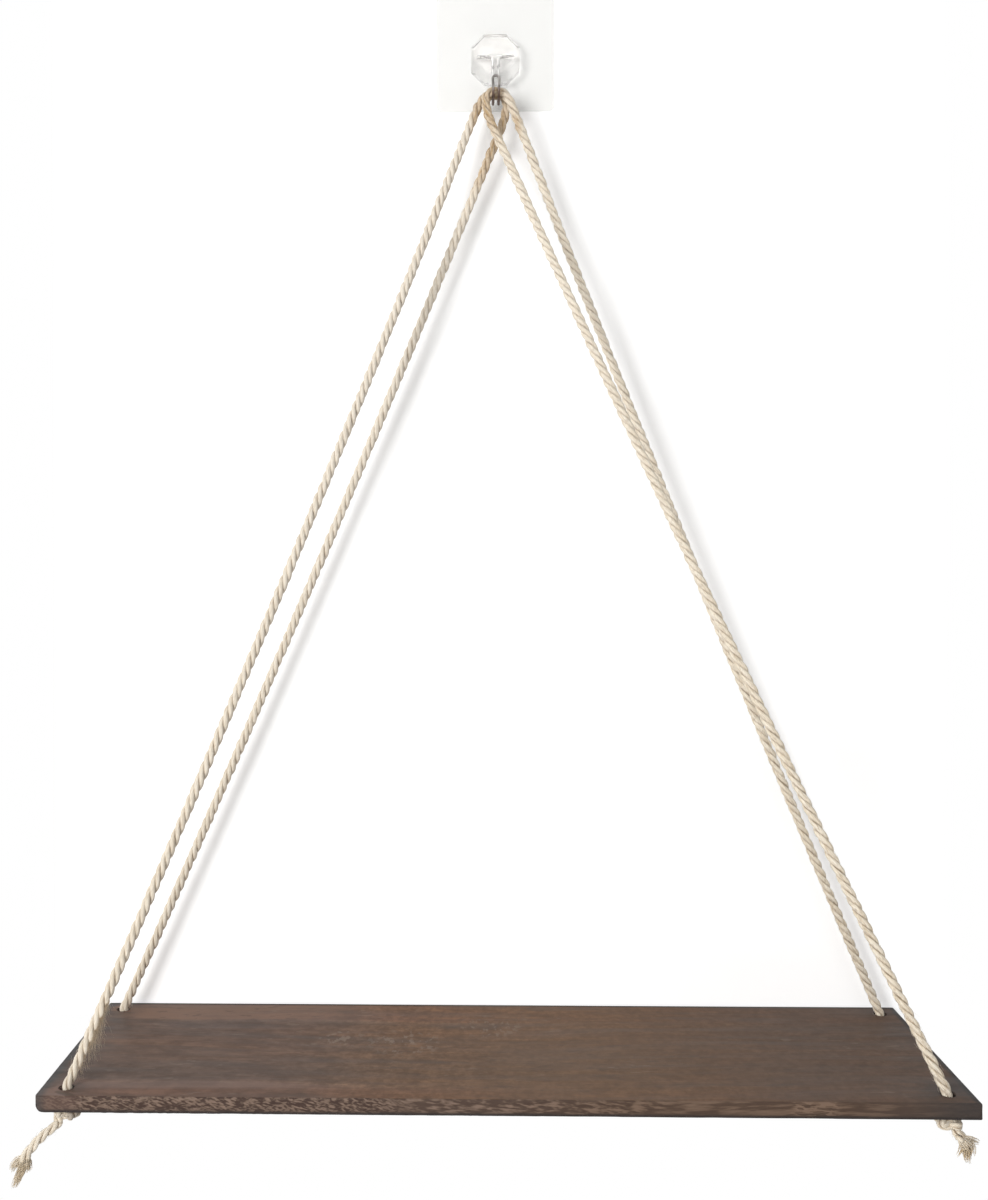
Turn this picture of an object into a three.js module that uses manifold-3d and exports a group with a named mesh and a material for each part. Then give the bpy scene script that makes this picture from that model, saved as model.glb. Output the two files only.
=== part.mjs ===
// A wooden wall shelf that hangs from one wire hook on two ropes.
// Millimetres. The origin is the centre of the adhesive pad's back face, on the wall.
// +X points to the viewer's right, +Y into the wall and +Z up.

import * as THREE from "three";
import { mergeVertices } from "three/addons/utils/BufferGeometryUtils.js";
import Module from "manifold-3d";

const wasm = await Module();
wasm.setup();

// Adhesive pad: a sticky layer and the clear film that carries the boss
const padSide = 60;
const padCornerRadius = 3;
const adhesiveThickness = 0.5;
const filmThickness = 0.5;

// Clear moulded boss: an octagon with a slot and a cross bore for the wire
const bossAcross = 24.5;
const bossCornerCut = 6.5;
const bossThickness = 6.5;
const bossEdgeEase = 0.8;
const bossDrop = 5;
const boreClearance = 0.3;
const slotClearance = 0.4;

// Wire hook: one bent wire with a crossbar, two shanks, a saddle and a looped tip
const wireDiameter = 1.3;
const shankSpacing = 2.8;
const crossbarLength = 18;
const crossbarDrop = 4;
const crossbarDepth = 4.2;
const crossbarBendRadius = 1.6;
const saddleDrop = 29;
const hookBendRadius = 3;
const roomBehindRopes = 3;
const roomBeforeRopes = 2.2;
const tipRise = 10.3;
const tipLoopWidth = 3.3;

// Ropes
const ropeDiameter = 5;
const ropeGap = 0.4;
const ropeSeatGap = 0.9;
const leftRopeBendRadius = 9.5;
const rightRopeBendRadius = 7;
const eyeDepth = 23;
const legSag = 5.5;
const stretchGap = 0.3;
const bightLegLength = 14;

// Board
const boardLength = 400;
const boardDepth = 120;
const boardThickness = 7;
const boardCornerRadius = 1.5;
const boardEdgeEase = 0.6;
const boardDrop = 486.5;
const wallGap = 0.5;
const holeRadius = 3;
const frontHoleEndInset = 11;
const backHoleEndInset = 9.5;
const holeEdgeInset = 10;

// Stopper knots and frayed tails
const knotWidth = 12;
const knotHeight = 7;
const knotStrandDiameter = 4;
const knotSeatGap = 0.3;
const tailNeckDiameter = 4.6;
const frontLeftTailLength = 37;
const frontRightTailLength = 16;
const backTailLength = 24;

// One overrun lets every cutter run past the face it opens
const cutterOverrun = 1;

// Places that follow from the sizes above
const filmFrontY = -adhesiveThickness - filmThickness;
const bossFrontY = filmFrontY - bossThickness;
const wireRadius = wireDiameter / 2;
const shankHalfSpacing = shankSpacing / 2;
const shankY = filmFrontY - crossbarDepth;
const saddleZ = -saddleDrop;
const ropeRadius = ropeDiameter / 2;
const backRopeY = shankY - roomBehindRopes - ropeRadius;
const frontRopeY = backRopeY - ropeDiameter - ropeGap;
const tipY = frontRopeY - ropeRadius - roomBeforeRopes;
const ropeTopZ = saddleZ + wireRadius + ropeSeatGap + ropeRadius;
const boardTopZ = -boardDrop;
const boardBottomZ = boardTopZ - boardThickness;
const boardBackY = -wallGap;
const boardFrontY = boardBackY - boardDepth;
const backHole = { x: boardLength / 2 - backHoleEndInset, y: boardBackY - holeEdgeInset };
const frontHole = { x: boardLength / 2 - frontHoleEndInset, y: boardFrontY + holeEdgeInset };
const knotTopZ = boardBottomZ - knotSeatGap;

const group = new THREE.Group();

function makeMaterial(color, roughness, metalness) {
  return new THREE.MeshStandardMaterial({ color, roughness, metalness });
}

function addMesh(name, geometry, material) {
  const mesh = new THREE.Mesh(geometry, material);
  mesh.name = name;
  group.add(mesh);
  return mesh;
}

// Solids

function toSolid(geometry) {
  const bare = geometry.index ? geometry.toNonIndexed() : geometry.clone();
  bare.deleteAttribute("normal");
  bare.deleteAttribute("uv");
  const merged = mergeVertices(bare, 1e-4);
  const corners = Array.from(merged.index.array);
  const kept = [];
  for (let i = 0; i < corners.length; i += 3) {
    const [a, b, c] = corners.slice(i, i + 3);
    if (a !== b && b !== c && c !== a) kept.push(a, b, c);
  }
  return new wasm.Manifold(
    new wasm.Mesh({
      numProp: 3,
      vertProperties: new Float32Array(merged.attributes.position.array),
      triVerts: new Uint32Array(kept),
    })
  );
}

function toGeometry(solid) {
  const mesh = solid.getMesh();
  const geometry = new THREE.BufferGeometry();
  geometry.setAttribute("position", new THREE.BufferAttribute(new Float32Array(mesh.vertProperties), 3));
  geometry.setIndex(new THREE.BufferAttribute(new Uint32Array(mesh.triVerts), 1));
  geometry.computeVertexNormals();
  return geometry;
}

function joinAll(solids) {
  return solids.reduce((sum, solid) => sum.add(solid));
}

// Slivers that strands leave where they only just touch are dropped
function largestBody(solid) {
  return solid.decompose().reduce((best, body) => (body.volume() > best.volume() ? body : best));
}

// A route with chosen stations, so that bends get short steps and straight runs long ones
class StationRoute extends THREE.Curve {
  constructor(points) {
    super();
    this.points = points;
  }

  getPoint(t) {
    return this.getPointAt(t);
  }

  getPointAt(u) {
    const last = this.points.length - 1;
    const place = u * last;
    const before = Math.min(Math.floor(place), last - 1);
    return this.points[before].clone().lerp(this.points[before + 1], place - before);
  }

  getTangentAt(u) {
    const last = this.points.length - 1;
    const station = Math.round(u * last);
    const before = this.points[Math.max(station - 1, 0)];
    const after = this.points[Math.min(station + 1, last)];
    return after.clone().sub(before).normalize();
  }
}

function roundSection(radius, sides) {
  const shape = new THREE.Shape();
  for (let i = 0; i < sides; i++) {
    const angle = (2 * Math.PI * i) / sides;
    const x = radius * Math.cos(angle);
    const y = radius * Math.sin(angle);
    if (i === 0) shape.moveTo(x, y);
    else shape.lineTo(x, y);
  }
  shape.closePath();
  return shape;
}

function sweepTube(points, radius, sides) {
  return new THREE.ExtrudeGeometry(roundSection(radius, sides), {
    steps: points.length - 1,
    bevelEnabled: false,
    extrudePath: new StationRoute(points),
  });
}

// Points along a path of corners, where each inner corner is rounded to its radius
function roundedCorners(corners, radii, arcSteps) {
  const points = [corners[0].clone()];
  for (let i = 1; i < corners.length - 1; i++) {
    const back = corners[i - 1].clone().sub(corners[i]).normalize();
    const ahead = corners[i + 1].clone().sub(corners[i]).normalize();
    const halfAngle = back.angleTo(ahead) / 2;
    const radius = radii[i - 1];
    const middle = back.clone().add(ahead).normalize();
    const centre = corners[i].clone().addScaledVector(middle, radius / Math.sin(halfAngle));
    const from = corners[i].clone().addScaledVector(back, radius / Math.tan(halfAngle)).sub(centre);
    const to = corners[i].clone().addScaledVector(ahead, radius / Math.tan(halfAngle)).sub(centre);
    const turn = from.angleTo(to);
    for (let k = 0; k <= arcSteps; k++) {
      const share = k / arcSteps;
      const arm = from.clone().multiplyScalar(Math.sin((1 - share) * turn) / Math.sin(turn));
      arm.addScaledVector(to, Math.sin(share * turn) / Math.sin(turn));
      points.push(arm.add(centre));
    }
  }
  points.push(corners[corners.length - 1].clone());
  return points;
}

// Pad

function roundedSquare(side, radius) {
  const half = side / 2;
  const shape = new THREE.Shape();
  shape.moveTo(-half + radius, -half);
  shape.lineTo(half - radius, -half);
  shape.absarc(half - radius, -half + radius, radius, -Math.PI / 2, 0, false);
  shape.lineTo(half, half - radius);
  shape.absarc(half - radius, half - radius, radius, 0, Math.PI / 2, false);
  shape.lineTo(-half + radius, half);
  shape.absarc(-half + radius, half - radius, radius, Math.PI / 2, Math.PI, false);
  shape.lineTo(-half, -half + radius);
  shape.absarc(-half + radius, -half + radius, radius, Math.PI, (3 * Math.PI) / 2, false);
  return shape;
}

// A flat sheet parallel to the wall, with its back face at backY
function wallSheet(shape, thickness, backY) {
  const geometry = new THREE.ExtrudeGeometry(shape, {
    depth: thickness,
    bevelEnabled: false,
    curveSegments: 6,
  });
  geometry.rotateX(Math.PI / 2);
  geometry.translate(0, backY, 0);
  return geometry;
}

function buildPad() {
  const clear = makeMaterial(0xf2f3f1, 0.25, 0);
  const sticky = makeMaterial(0xe9e9e4, 0.6, 0);
  const outline = roundedSquare(padSide, padCornerRadius);
  addMesh("adhesive_layer", wallSheet(outline, adhesiveThickness, 0), sticky);
  addMesh("carrier_film", wallSheet(outline, filmThickness, -adhesiveThickness), clear);
}

// Boss

// An octagon drawn in from its full size, so that the bevel brings it back out
function octagon(across, cornerCut, inset) {
  const half = across / 2 - inset;
  const flat = across / 2 - cornerCut - inset * Math.tan(Math.PI / 8);
  const shape = new THREE.Shape();
  const corners = [
    [flat, -half],
    [half, -flat],
    [half, flat],
    [flat, half],
    [-flat, half],
    [-half, flat],
    [-half, -flat],
    [-flat, -half],
  ];
  shape.setFromPoints(corners.map(([x, y]) => new THREE.Vector2(x, y)));
  shape.closePath();
  return shape;
}

function buildBoss() {
  const clear = makeMaterial(0xf4f5f4, 0.12, 0);
  const block = new THREE.ExtrudeGeometry(octagon(bossAcross, bossCornerCut, bossEdgeEase), {
    depth: bossThickness - 2 * bossEdgeEase,
    bevelEnabled: true,
    bevelThickness: bossEdgeEase,
    bevelSize: bossEdgeEase,
    bevelSegments: 2,
  });
  block.rotateX(Math.PI / 2);
  block.translate(0, filmFrontY - bossEdgeEase, -bossDrop);

  const slotTop = -crossbarDrop + wireRadius + slotClearance;
  const slotBottom = -bossDrop - bossAcross / 2 - cutterOverrun;
  const slotFloorY = shankY + wireRadius + slotClearance;
  const slotFrontY = bossFrontY - cutterOverrun;
  const slotWidth = 2 * (shankHalfSpacing + crossbarBendRadius + slotClearance);
  const slot = new THREE.BoxGeometry(slotWidth, slotFloorY - slotFrontY, slotTop - slotBottom);
  slot.translate(0, (slotFloorY + slotFrontY) / 2, (slotTop + slotBottom) / 2);

  const boreLength = crossbarLength + 2 * boreClearance;
  const boreRadius = wireRadius + boreClearance;
  const bore = new THREE.CylinderGeometry(boreRadius, boreRadius, boreLength, 16);
  bore.rotateZ(Math.PI / 2);
  bore.translate(0, shankY, -crossbarDrop);

  const solid = toSolid(block).subtract(toSolid(slot)).subtract(toSolid(bore));
  addMesh("hook_boss", toGeometry(solid), clear);
}

// Wire hook

function buildHook() {
  const steel = makeMaterial(0x8f8f8c, 0.3, 1);
  const corner = (x, y, z) => new THREE.Vector3(x, y, z);
  const half = [
    corner(crossbarLength / 2, shankY, -crossbarDrop),
    corner(shankHalfSpacing, shankY, -crossbarDrop),
    corner(shankHalfSpacing, shankY, saddleZ),
    corner(shankHalfSpacing, tipY, saddleZ),
    corner(shankHalfSpacing, tipY, saddleZ + hookBendRadius + wireRadius),
    corner(tipLoopWidth / 2, tipY, saddleZ + tipRise - tipLoopWidth / 2),
    corner(tipLoopWidth / 2, tipY, saddleZ + tipRise),
  ];
  const halfRadii = [
    crossbarBendRadius,
    hookBendRadius,
    hookBendRadius,
    wireRadius,
    tipLoopWidth,
    tipLoopWidth / 2,
  ];
  const mirrored = half.map((point) => corner(-point.x, point.y, point.z)).reverse();
  const corners = [...half, ...mirrored];
  const radii = [...halfRadii, ...[...halfRadii].reverse()];
  // The two top corners meet in a half circle, so each takes just under half of the width
  const loopShare = 0.98;
  radii[halfRadii.length - 1] *= loopShare;
  radii[halfRadii.length] *= loopShare;
  addMesh("wire_hook", sweepTube(roundedCorners(corners, radii, 5), wireRadius, 10), steel);
}

// Board

function buildBoard() {
  const wood = makeMaterial(0x685a50, 0.75, 0);
  const halfLength = boardLength / 2 - boardEdgeEase;
  const halfDepth = boardDepth / 2 - boardEdgeEase;
  const r = boardCornerRadius;
  const shape = new THREE.Shape();
  shape.moveTo(-halfLength + r, -halfDepth);
  shape.lineTo(halfLength - r, -halfDepth);
  shape.absarc(halfLength - r, -halfDepth + r, r, -Math.PI / 2, 0, false);
  shape.lineTo(halfLength, halfDepth - r);
  shape.absarc(halfLength - r, halfDepth - r, r, 0, Math.PI / 2, false);
  shape.lineTo(-halfLength + r, halfDepth);
  shape.absarc(-halfLength + r, halfDepth - r, r, Math.PI / 2, Math.PI, false);
  shape.lineTo(-halfLength, -halfDepth + r);
  shape.absarc(-halfLength + r, -halfDepth + r, r, Math.PI, (3 * Math.PI) / 2, false);
  const middleY = (boardBackY + boardFrontY) / 2;
  for (const side of [-1, 1]) {
    for (const { x, y } of [backHole, frontHole]) {
      const hole = new THREE.Path();
      hole.absarc(side * x, y - middleY, holeRadius + boardEdgeEase, 0, 2 * Math.PI, true);
      shape.holes.push(hole);
    }
  }
  const geometry = new THREE.ExtrudeGeometry(shape, {
    depth: boardThickness - 2 * boardEdgeEase,
    bevelEnabled: true,
    bevelThickness: boardEdgeEase,
    bevelSize: boardEdgeEase,
    bevelSegments: 2,
    curveSegments: 5,
  });
  geometry.translate(0, middleY, boardBottomZ + boardEdgeEase);
  addMesh("shelf_board", geometry, wood);
}

// Ropes

// Depth in the room of a strand that runs from the hook to its hole
function strandY(hookY, holeY, z) {
  return hookY + ((holeY - hookY) * (ropeTopZ - z)) / (ropeTopZ - boardTopZ);
}

// The loose side of the bight: shares of the rope's diameter outwards and of the eye's depth down
const eyeShares = [
  [0.57, 0.03],
  [0.98, 0.1],
  [1.06, 0.2],
  [0.98, 0.36],
  [0.76, 0.57],
  [0.38, 0.8],
  [0, 1],
];
const legShares = [0.12, 0.3, 0.5, 0.7, 0.85];
const holeBendShares = [0.1, 1.2, 2.6];

// A leg from its hole to the hook: it stands straight in the hole, leans over and sags a little
function legPoints(side, hookEnd, hole) {
  const mouth = new THREE.Vector3(side * hole.x, hole.y, boardTopZ);
  const bend = mouth.clone().setZ(boardTopZ + holeBendShares[0] * ropeDiameter);
  const along = hookEnd.clone().sub(bend);
  const nearShares = holeBendShares.map(
    (share) => ((share - holeBendShares[0]) * ropeDiameter) / along.length()
  );
  const points = [mouth.clone().setZ(boardBottomZ), mouth];
  for (const share of [...nearShares, ...legShares]) {
    const point = bend.clone().addScaledVector(along, share);
    point.z -= 4 * share * (1 - share) * legSag;
    points.push(point);
  }
  points.push(hookEnd.clone());
  return points;
}

// Points from the outer hole, over the hook, through the eye and down to the inner hole
function ropeRoute({ side, hookY, bendRadius, outerHole, innerHole }) {
  const arcCentreZ = ropeTopZ - bendRadius;
  const reach = Math.hypot(outerHole.x, arcCentreZ - boardTopZ);
  const dip = Math.atan2(arcCentreZ - boardTopZ, outerHole.x);
  const tangent = Math.acos(bendRadius / reach) - dip;
  const arcSteps = 4;
  const arc = [];
  for (let k = 0; k <= arcSteps; k++) {
    const angle = tangent + ((Math.PI / 2 - tangent) * k) / arcSteps;
    const z = arcCentreZ + bendRadius * Math.sin(angle);
    const x = side * bendRadius * Math.cos(angle);
    arc.push(new THREE.Vector3(x, strandY(hookY, outerHole.y, z), z));
  }
  const eye = eyeShares.map(([out, down]) => {
    const x = -side * out * ropeDiameter;
    const z = ropeTopZ - down * eyeDepth;
    return new THREE.Vector3(x, strandY(hookY, innerHole.y, z), z);
  });
  const outerLeg = legPoints(side, arc[0], outerHole);
  const innerLeg = legPoints(side, eye[eye.length - 1], innerHole).reverse();
  return [...outerLeg, ...arc.slice(1), ...eye, ...innerLeg.slice(1)];
}

function routeLength(points) {
  let length = 0;
  for (let i = 1; i < points.length; i++) length += points[i].distanceTo(points[i - 1]);
  return length;
}

function pointAtLength(points, length) {
  let left = length;
  for (let i = 1; i < points.length; i++) {
    const step = points[i].distanceTo(points[i - 1]);
    if (left <= step) return points[i - 1].clone().lerp(points[i], left / step);
    left -= step;
  }
  return points[points.length - 1].clone();
}

// The part of a route between two lengths along it, with the route's own points kept
function cutRoute(points, from, to) {
  const cut = [pointAtLength(points, from)];
  let travelled = 0;
  for (let i = 1; i < points.length; i++) {
    travelled += points[i].distanceTo(points[i - 1]);
    const clearOfEnds = travelled > from + ropeRadius / 2 && travelled < to - ropeRadius / 2;
    if (clearOfEnds) cut.push(points[i].clone());
  }
  cut.push(pointAtLength(points, to));
  return cut;
}

function lengthTo(points, target) {
  let travelled = 0;
  for (let i = 1; i < points.length; i++) {
    travelled += points[i].distanceTo(points[i - 1]);
    if (points[i].distanceTo(target) < wireRadius) return travelled;
  }
  return travelled;
}

function buildRope(rope, material) {
  const route = ropeRoute(rope);
  const total = routeLength(route);
  const arcStart = route[2 + holeBendShares.length + legShares.length];
  const crossing = route[route.length - 3 - holeBendShares.length - legShares.length];
  const bightStart = lengthTo(route, arcStart) - bightLegLength;
  const bightEnd = lengthTo(route, crossing) + bightLegLength;
  const sides = 10;
  const cuts = [
    [rope.outerName, 0, bightStart - stretchGap / 2],
    [rope.bightName, bightStart + stretchGap / 2, bightEnd - stretchGap / 2],
    [rope.innerName, bightEnd + stretchGap / 2, total],
  ];
  for (const [name, from, to] of cuts) {
    addMesh(name, sweepTube(cutRoute(route, from, to), ropeRadius, sides), material);
  }
}

// Knots and tails

// Half of the strand's path through an overhand knot: shares of the knot's reach across, forwards
// and up. The other half is the same turned about the X axis.
const knotShares = [
  [0.9, 0, 0],
  [0.56, -0.17, -0.68],
  [-0.22, -0.5, -1],
  [-0.95, -0.69, -0.54],
  [-0.78, -0.61, 0.24],
  [-0.06, 0.17, 0.5],
  [0.6, 0.94, 0.62],
];
// From there the strand rises to the middle of the top, and leaves the foot at the outer side
const headShares = [
  [0.45, 0.7, 0.9],
  [0.12, 0.25, 1],
];
const footShares = [
  [0.84, -0.6, -0.86],
  [0.9, -0.15, -1],
];
const footOutShare = 0.85;

function knotPath() {
  const reach = (knotWidth - knotStrandDiameter) / 2;
  const rise = (knotHeight - knotStrandDiameter) / 2;
  const place = ([x, y, z], turn) => new THREE.Vector3(x * reach, turn * y * reach, turn * z * rise);
  const lower = knotShares.slice(1).reverse().map((share) => place(share, -1));
  const upper = [...knotShares, ...headShares].map((share) => place(share, 1));
  const toFoot = footShares.map((share) => place(share, 1)).reverse();
  const foot = new THREE.Vector3(footOutShare * reach, 0, -knotHeight / 2);
  const head = new THREE.Vector3(0, 0, knotHeight / 2);
  return new THREE.CatmullRomCurve3([foot, ...toFoot, ...lower, ...upper, head], false, "centripetal");
}

// The strand's turns press together and leave no hollow, so a core fills the middle
function knotCore() {
  const core = new THREE.SphereGeometry(1, 8, 5);
  const reach = (knotWidth - knotStrandDiameter) / 2;
  core.scale(reach, reach, knotHeight / 2 - knotStrandDiameter / 4);
  return toSolid(core);
}

// A knot pulled tight: its top is pressed flat under the board, and its foot where the tail leaves
function knotSolid() {
  const steps = 30;
  const runs = 10;
  const sides = 7;
  const points = knotPath().getSpacedPoints(steps);
  const stepsPerRun = steps / runs;
  const solids = [];
  for (let run = 0; run < runs; run++) {
    const first = run * stepsPerRun;
    const last = Math.min(first + stepsPerRun + 1, steps);
    solids.push(toSolid(sweepTube(points.slice(first, last + 1), knotStrandDiameter / 2, sides)));
  }
  const slab = new THREE.BoxGeometry(2 * knotWidth, 2 * knotWidth, knotHeight);
  return largestBody(joinAll([knotCore(), ...solids]).intersect(toSolid(slab)));
}

// Outline of a frayed end: shares of the neck's diameter outwards and of its length along
const tuftShares = [
  [0, 0],
  [0.46, 0],
  [0.62, 0.16],
  [0.95, 0.45],
  [0.9, 0.7],
  [0.5, 0.92],
  [0, 1],
];

// Each tail's neck from straight below its knot, in shares of the tail's length across, forwards
// and down, and the share of its length that is frayed
const tailShares = {
  front_left_tail: {
    frayed: 0.4,
    neck: [
      [0, 0, 0],
      [0, 0, -0.05],
      [-0.06, 0, -0.12],
      [-0.17, 0.01, -0.2],
      [-0.35, 0.02, -0.36],
      [-0.41, 0.02, -0.46],
    ],
  },
  front_right_tail: {
    frayed: 0.7,
    neck: [[0, 0, 0], [0, 0, -0.08], [0.06, 0, -0.17], [0.16, 0, -0.26], [0.24, 0, -0.38]],
  },
  back_left_tail: {
    frayed: 0.5,
    neck: [[0, 0, 0], [0, 0, -0.08], [-0.02, 0.01, -0.2], [-0.06, 0.03, -0.35], [-0.11, 0.05, -0.5]],
  },
  back_right_tail: {
    frayed: 0.5,
    neck: [[0, 0, 0], [0, 0, -0.08], [0.03, 0.01, -0.2], [0.08, 0.03, -0.35], [0.14, 0.05, -0.5]],
  },
};

function buildTail(name, length, start, material) {
  const { frayed, neck: neckShares } = tailShares[name];
  const points = neckShares.map(([x, y, z]) => new THREE.Vector3(x, y, z).multiplyScalar(length));
  const neckEnd = points[points.length - 1];
  const direction = neckEnd.clone().sub(points[points.length - 2]).normalize();
  const neck = sweepTube(points, tailNeckDiameter / 2, 8);
  const tuftLength = frayed * length;
  const profile = tuftShares.map(
    ([out, along]) => new THREE.Vector2(out * tailNeckDiameter, along * tuftLength)
  );
  const tuft = new THREE.LatheGeometry(profile, 10);
  tuft.applyQuaternion(new THREE.Quaternion().setFromUnitVectors(new THREE.Vector3(0, 1, 0), direction));
  const overlap = direction.clone().multiplyScalar(-tailNeckDiameter / 4);
  tuft.translate(neckEnd.x + overlap.x, neckEnd.y + overlap.y, neckEnd.z + overlap.z);
  const solid = toSolid(neck).add(toSolid(tuft));
  const geometry = toGeometry(solid);
  geometry.translate(start.x, start.y, start.z);
  addMesh(name, geometry, material);
}

function buildEnd(corner, side, hole, tailLength, material) {
  const knot = toGeometry(knotSolid());
  knot.scale(side, side, 1);
  knot.translate(side * hole.x, hole.y, knotTopZ - knotHeight / 2);
  addMesh(`${corner}_knot`, knot, material);
  const footX = side * (hole.x + (footOutShare * (knotWidth - knotStrandDiameter)) / 2);
  const start = new THREE.Vector3(footX, hole.y, knotTopZ - knotHeight - stretchGap);
  buildTail(`${corner}_tail`, tailLength, start, material);
}

buildPad();
buildBoss();
buildHook();
buildBoard();

const jute = makeMaterial(0xd8c8a8, 0.95, 0);
buildRope(
  {
    side: -1,
    hookY: backRopeY,
    bendRadius: leftRopeBendRadius,
    outerHole: frontHole,
    innerHole: backHole,
    outerName: "left_rope_front_leg",
    bightName: "left_rope_hook_bight",
    innerName: "left_rope_back_leg",
  },
  jute
);
buildRope(
  {
    side: 1,
    hookY: frontRopeY,
    bendRadius: rightRopeBendRadius,
    outerHole: backHole,
    innerHole: frontHole,
    outerName: "right_rope_back_leg",
    bightName: "right_rope_hook_bight",
    innerName: "right_rope_front_leg",
  },
  jute
);
buildEnd("front_left", -1, frontHole, frontLeftTailLength, jute);
buildEnd("front_right", 1, frontHole, frontRightTailLength, jute);
buildEnd("back_left", -1, backHole, backTailLength, jute);
buildEnd("back_right", 1, backHole, backTailLength, jute);

export default group;
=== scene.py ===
"""Looks of a wooden wall shelf that hangs on two ropes from one wire hook.

Metres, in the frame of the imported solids: the origin is the centre of the adhesive pad's back
face on the wall, +X points to the viewer's right, +Y into the wall and +Z up.
"""

import math

import bpy
import numpy as np
from mathutils import Matrix, Vector


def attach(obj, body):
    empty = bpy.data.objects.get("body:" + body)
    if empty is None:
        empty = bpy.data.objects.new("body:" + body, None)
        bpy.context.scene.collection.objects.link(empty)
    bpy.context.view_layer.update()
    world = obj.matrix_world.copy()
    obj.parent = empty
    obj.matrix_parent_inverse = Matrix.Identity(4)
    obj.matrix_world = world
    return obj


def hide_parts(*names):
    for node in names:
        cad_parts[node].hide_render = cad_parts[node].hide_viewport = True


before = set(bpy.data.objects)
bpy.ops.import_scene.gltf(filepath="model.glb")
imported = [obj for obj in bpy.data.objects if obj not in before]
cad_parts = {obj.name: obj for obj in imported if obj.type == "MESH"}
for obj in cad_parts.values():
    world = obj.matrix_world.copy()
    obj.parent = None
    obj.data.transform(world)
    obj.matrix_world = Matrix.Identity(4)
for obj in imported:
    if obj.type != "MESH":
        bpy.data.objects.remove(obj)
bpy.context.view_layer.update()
scene = bpy.context.scene

MM = 0.001
TURN = 2 * math.pi
WHITE = (1, 1, 1)

# Sizes that the solids were made from, in metres
WIRE_RADIUS = 0.65 * MM
SHANK_HALF = 1.4 * MM
SHANK_Y = -5.2 * MM
CROSSBAR_Z = -4 * MM
CROSSBAR_HALF = 9 * MM
SADDLE_Z = -28.6 * MM
TIP_Y = -20.8 * MM
TIP_TOP_Z = -18.7 * MM
TIP_HALF = 1.65 * MM

ROPE = 5 * MM
ROPE_TOP_Z = -24.95 * MM
LEFT_ROPE_Y = -10.7 * MM
RIGHT_ROPE_Y = -16.1 * MM
LEG_SAG = 5.5 * MM
EYE_DEPTH = 23 * MM
LAY = 16.2 * MM

# Strands: how far from the rope's centre line and how thick, as shares of its width
STRAND_OUT = 0.256
STRAND_RADIUS = 0.247
STRAND_SIDES = 12

BOARD_HALF = 200 * MM
BOARD_TOP_Z = -486.5 * MM
BOARD_BOTTOM_Z = -493.5 * MM
BOARD_BACK_Y = -0.5 * MM
BOARD_FRONT_Y = -120.5 * MM
HOLE_RADIUS = 3 * MM
HOLE_LEAN = 0.45 * MM
FRONT_HOLE = (189 * MM, -110.5 * MM)
BACK_HOLE = (190.5 * MM, -10.5 * MM)

KNOT_TOP_Z = -493.8 * MM
KNOT_WIDTH = 12 * MM
KNOT_HEIGHT = 7 * MM
KNOT_STRAND = 4 * MM
STRETCH_GAP = 0.3 * MM

# The rope is drawn thinner in its knots and tails. A tail narrows towards the knot.
TIGHT_ROPE = 4.15 * MM
TAIL_WIDTHS = (4.2 * MM, 4.0 * MM)


# Camera, at the photograph's place: turned a little to the left and not tipped. Lengths in the
# picture are in pixels, from its upper left corner.
PICTURE_SIZE = (988, 1200)
VIEW_CENTRE = (437.1, 556.4)
FOCAL_LENGTH = 1338.5
CAMERA_PLACE = (-0.01151, -0.68537, -0.25716)
CAMERA_YAW = math.radians(1.6)
CAMERA_ROLL = math.radians(-0.193)


def make_camera():
    data = bpy.data.cameras.new("photo_camera")
    width, height = PICTURE_SIZE
    data.sensor_width = 36
    data.lens = data.sensor_width * FOCAL_LENGTH / height
    data.shift_x = (width / 2 - VIEW_CENTRE[0]) / height
    data.shift_y = (VIEW_CENTRE[1] - height / 2) / height
    data.clip_start, data.clip_end = 0.01, 50
    camera = bpy.data.objects.new("photo_camera", data)
    camera.matrix_world = (
        Matrix.Translation(CAMERA_PLACE)
        @ Matrix.Rotation(CAMERA_YAW, 4, "Z")
        @ Matrix.Rotation(TURN / 4, 4, "X")
        @ Matrix.Rotation(CAMERA_ROLL, 4, "Z")
    )
    scene.collection.objects.link(camera)
    scene.camera = camera


make_camera()


# Lines: arrays of points


def unit(vectors):
    return vectors / np.maximum(np.linalg.norm(vectors, axis=-1, keepdims=True), 1e-12)


def lengths_along(line):
    return np.append(0, np.cumsum(np.linalg.norm(np.diff(line, axis=0), axis=1)))


def resampled(line, step):
    """Points of a line about one step apart"""
    along = lengths_along(line)
    count = max(int(round(along[-1] / step)), 2)
    places = np.linspace(0, along[-1], count + 1)
    return np.stack([np.interp(places, along, line[:, k]) for k in range(3)], axis=1)


def smooth_line(points, step):
    """A centripetal Catmull-Rom curve through the points, in even steps"""
    p = np.asarray(points, float)
    p = np.vstack([2 * p[0] - p[1], p, 2 * p[-1] - p[-2]])
    dense = []
    t = np.linspace(0, 1, 40, endpoint=False)[:, None]
    for p0, p1, p2, p3 in zip(p, p[1:], p[2:], p[3:]):
        d0, d1, d2 = np.linalg.norm(np.diff([p0, p1, p2, p3], axis=0), axis=1) ** 0.5
        out = p2 - p1 + d1 * ((p1 - p0) / d0 - (p2 - p0) / (d0 + d1))
        into = p2 - p1 + d1 * ((p3 - p2) / d2 - (p3 - p1) / (d1 + d2))
        bend = out + into - 2 * (p2 - p1)
        dense.append(p1 + t * (out + t * (p2 - p1 - out - bend + t * bend)))
    dense.append(p[-2][None])
    return resampled(np.vstack(dense), step)


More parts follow.
